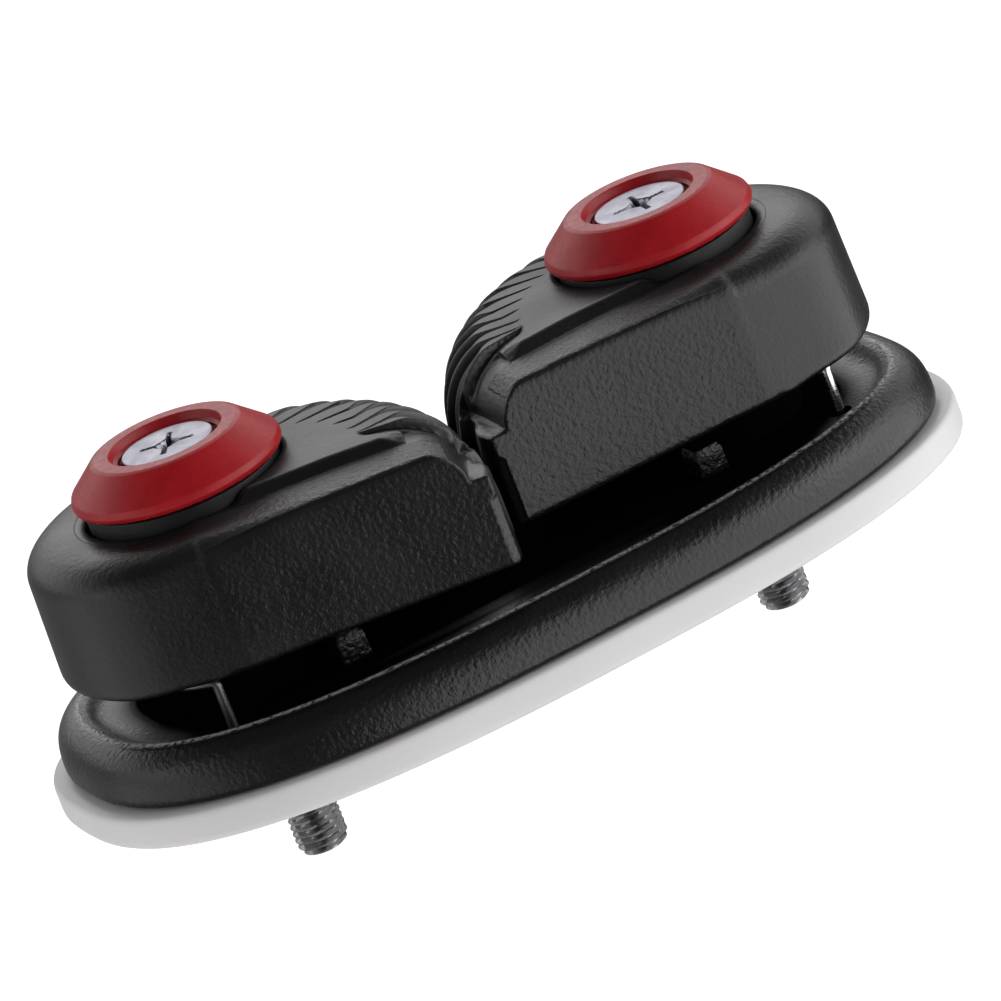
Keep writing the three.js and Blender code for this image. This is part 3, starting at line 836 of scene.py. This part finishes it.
def screw(side):
    low, high = box_mm(f"{side}_screw")
    top, tip = high[2], low[2]
    angle = np.linspace(0, 2 * math.pi, SCREW_COLUMNS, endpoint=False)
    cos, sin, level = np.cos(angle), np.sin(angle), np.ones(SCREW_COLUMNS)
    rings = []
    for k in range(THREAD_ROWS + 1):
        z = tip + 0.12 + (NECK_Z - 0.4 - tip) * k / THREAD_ROWS
        turn = (z / THREAD_PITCH - angle / (2 * math.pi)) % 1.0
        wave = np.clip(np.abs(turn - 0.5) * 2.6 - 0.15, 0, 1)
        radius = THREAD_ROOT + (THREAD_CREST - THREAD_ROOT) * (1 - wave)
        radius = radius * (0.8 + 0.2 * np.clip((z - tip) / 0.7, 0, 1))
        rings.append(np.column_stack([radius * cos, radius * sin, z * level]))
    for radius, z in ((SHANK_RADIUS, NECK_Z - 0.15), (SHANK_RADIUS, NECK_Z), (2.6, 21.6), (3.22, top - 0.4),
                      (HEAD_RADIUS, top - 0.28), (HEAD_RADIUS, top - 0.1), (HEAD_RADIUS - 0.03, top - 0.04),
                      (HEAD_RADIUS - 0.1, top)):
        rings.append(np.column_stack([radius * cos, radius * sin, z * level]))
    for radius in np.linspace(HEAD_RADIUS - 0.16, 0.03, HEAD_ROWS):
        x, y = radius * cos, radius * sin
        rings.append(np.column_stack([x, y, top - recess_depth(x, y)]))
    points, faces = closed_stack(rings)
    obj = make_object(f"{side}_screw_steel", points, faces, HEAD_STEEL, "base",
                      [f"{side}_screw"], turn=SCREW_TURN[side], at=(PIVOT_X[side], 0, 0), sharp=60)
    obj.data.materials.append(THREAD_STEEL)
    for face in obj.data.polygons:
        if face.center.z < THREAD_STEEL_BELOW:
            face.material_index = 1
    return obj


def tube(path, radius, sides=14):
    """A closed round bar along a path."""
    path = np.array(path, float)
    tangent = np.gradient(path, axis=0)
    tangent /= np.linalg.norm(tangent, axis=1)[:, None]
    normal = np.cross(tangent[0], [1.0, 0.3, 0.1])
    rings = []
    angle = np.linspace(0, 2 * math.pi, sides, endpoint=False)
    for p, t in zip(path, tangent):
        normal = normal - t * np.dot(normal, t)
        normal /= np.linalg.norm(normal)
        side = np.cross(t, normal)
        rings.append(p + radius * (np.outer(np.cos(angle), normal) + np.outer(np.sin(angle), side)))
    return closed_stack(rings)


def torsion_spring(side, sign):
    turns, pitch, low, leg_end, wire, bend = 2.5, 1.05, 8.95, 3.6, 0.36, 0.5
    out = 0.06                  # radians that the bend turns before the coil starts
    lifted = 0.5 if sign < 0 else 0.0
    path = []                   # angle and height, first down the leg, then round the bend and the coil
    for z in np.linspace(leg_end, low - bend, 12):
        path.append((LEG_ANGLE, z))
    for t in np.linspace(0, 1, 8)[1:]:
        path.append((LEG_ANGLE + out * t * t, low - bend * (1 - t) ** 2))
    for t in np.linspace(0, 1, 240)[1:]:
        angle = LEG_ANGLE + out + t * turns * 2 * math.pi
        path.append((angle, low + lifted * ease(0, 0.03, t) + t * turns * pitch))
    path = [(COIL_RADIUS * math.cos(angle), COIL_RADIUS * math.sin(angle), z) for angle, z in path]
    points, faces = tube(path, wire)
    points = points * np.array([sign, 1, 1])
    return make_object(f"{side}_spring_wire", points, faces, SPRING_STEEL[side], "base",
                       [f"{side}_torsion_spring"], at=(PIVOT_X[side], 0, 0))


for side, sign in SIDES.items():
    bearing_cap(side, sign)
    for name in RACES:
        race(side, name)
    screw(side)
    torsion_spring(side, sign)


BALL_RADIUS = 1.5875


def ball(name):
    low, high = box_mm(name)
    bm = bmesh.new()
    bmesh.ops.create_icosphere(bm, subdivisions=3, radius=1.0)
    points = np.array([v.co[:] for v in bm.verts]) * BALL_RADIUS
    # a faint moulding line round the middle, as on a plastic ball
    points *= (1 + 0.004 * np.exp(-(points[:, 2] / 0.12) ** 2))[:, None]
    faces = [[v.index for v in f.verts] for f in bm.faces]
    bm.free()
    body = frame["nodes"][name]["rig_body"]
    return make_object(f"{name}_bead", points, faces, BALLS, body, [name],
                       at=(low + high) / 2)


for name in sorted(frame["nodes"]):
    if "_ball_" in name:
        ball(name)


# ---- floor, light and camera ------------------------------------------------------------------------

def pale_floor():
    """A plain floor just below the part, lit from within so that it stays white."""
    low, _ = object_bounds()
    bm = bmesh.new()
    bmesh.ops.create_circle(bm, cap_ends=True, radius=3.4, segments=96)
    mesh = bpy.data.meshes.new("floor")
    bm.to_mesh(mesh)
    bm.free()
    floor = bpy.data.objects.new("floor", mesh)
    floor.location.z = low[2] - 0.00005
    bpy.context.scene.collection.objects.link(floor)
    material = new_material("pale_floor", (0.3, 0.3, 0.3), 0.9, specular=0.1)
    shader = material.node_tree.nodes["Principled BSDF"]
    shader.inputs["Emission Color"].default_value = (1, 1, 1, 1)
    shader.inputs["Emission Strength"].default_value = 1.0
    mesh.materials.append(material)
    floor.visible_glossy = False
    floor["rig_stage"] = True


# Place, size and watts.
SOFTBOXES = {
    "back_softbox": ((0.2, 0.62, 0.42), 0.45, 0.7),
    "right_softbox": ((0.62, -0.42, 0.10), 0.35, 0.6),
    "left_softbox": ((-0.6, -0.05, 0.25), 0.3, 0.3),
}
SOFTBOX_AIM = (0, 0, 0.01)


def area_light(name, location, size, power):
    data = bpy.data.lights.new(name, "AREA")
    data.shape = "RECTANGLE"
    data.size = data.size_y = size
    data.energy = power
    light = bpy.data.objects.new(name, data)
    light.location = location
    light.rotation_mode = "QUATERNION"
    light.rotation_quaternion = (Vector(SOFTBOX_AIM) - Vector(location)).to_track_quat("-Z", "Y")
    bpy.context.scene.collection.objects.link(light)


def sky():
    """A studio's walls: a pale band all round, brightest behind, with soft patches to the right and left."""
    world = bpy.data.worlds.new("studio")
    bpy.context.scene.world = world
    world.use_nodes = True
    tree = world.node_tree
    tree.nodes.clear()
    out = tree.nodes.new("ShaderNodeOutputWorld")
    background = tree.nodes.new("ShaderNodeBackground")
    tree.links.new(background.outputs[0], out.inputs[0])
    coords = tree.nodes.new("ShaderNodeTexCoord")

    def facing(direction, low, high, out_low, out_high):
        dot = tree.nodes.new("ShaderNodeVectorMath")
        dot.operation = "DOT_PRODUCT"
        tree.links.new(coords.outputs["Generated"], dot.inputs[0])
        dot.inputs[1].default_value = Vector(direction).normalized()
        ramp = tree.nodes.new("ShaderNodeMapRange")
        ramp.interpolation_type = "SMOOTHSTEP"
        tree.links.new(dot.outputs["Value"], ramp.inputs["Value"])
        for key, v in zip(("From Min", "From Max", "To Min", "To Max"), (low, high, out_low, out_high)):
            ramp.inputs[key].default_value = v
        return ramp.outputs["Result"]

    def joined(operation, a, b):
        node = tree.nodes.new("ShaderNodeMath")
        node.operation = operation
        for socket, value in zip(node.inputs, (a, b)):
            if isinstance(value, bpy.types.NodeSocket):
                tree.links.new(value, socket)
            else:
                socket.default_value = value
        return node.outputs[0]

    up = (0, 0, 1)
    band = joined("MULTIPLY", facing(up, 0.14, 0.26, 0, 1), facing(up, 0.6, 0.82, 1, 0.06))
    behind = facing((0.32, 0.95, 0), -0.35, 0.35, 0.1, 1.0)
    walls = joined("MULTIPLY", joined("MULTIPLY", band, behind), 1.35)
    right = joined("MULTIPLY", facing((0.75, -0.60, -0.25), 0.50, 0.80, 0, 1), 2.6)
    left = joined("MULTIPLY", facing((-0.95, 0.0, -0.25), 0.6, 0.95, 0, 1), 1.1)
    low_back = joined("MULTIPLY", facing((-0.2, 0.9, -0.35), 0.5, 0.9, 0, 1), 0.25)
    lobes = joined("ADD", joined("ADD", right, left), low_back)
    level = joined("ADD", joined("ADD", walls, 0.06), lobes)
    tree.links.new(level, background.inputs["Strength"])
    background.inputs["Color"].default_value = (1, 1, 1, 1)


# The camera stands to the left of -Y and above, and is rolled so that the part rises to the right.
AZIMUTH, ELEVATION, ROLL, DISTANCE = math.radians(18.5), math.radians(19.5), math.radians(21.0), 0.65
CAMERA_AIM = (0.00246, 0.00188, 0.00724)
LENS = 337.7


def camera():
    back = Vector((-math.sin(AZIMUTH) * math.cos(ELEVATION), -math.cos(AZIMUTH) * math.cos(ELEVATION),
                   math.sin(ELEVATION)))
    level_right = Vector((math.cos(AZIMUTH), -math.sin(AZIMUTH), 0))
    level_up = back.cross(level_right)
    right = level_right * math.cos(ROLL) - level_up * math.sin(ROLL)
    up = back.cross(right)
    data = bpy.data.cameras.new("camera")
    data.lens = LENS
    data.sensor_width = 36
    data.clip_start, data.clip_end = 0.01, 50
    obj = bpy.data.objects.new("camera", data)
    rotation = Matrix((right, up, back)).transposed().to_4x4()
    obj.matrix_world = Matrix.Translation(Vector(CAMERA_AIM) + back * DISTANCE) @ rotation
    bpy.context.scene.collection.objects.link(obj)
    bpy.context.scene.camera = obj


pale_floor()
sky()
for name in SOFTBOXES:
    area_light(name, *SOFTBOXES[name])
camera()
settings = bpy.context.scene.view_settings
settings.view_transform = "Standard"
settings.look = "None"
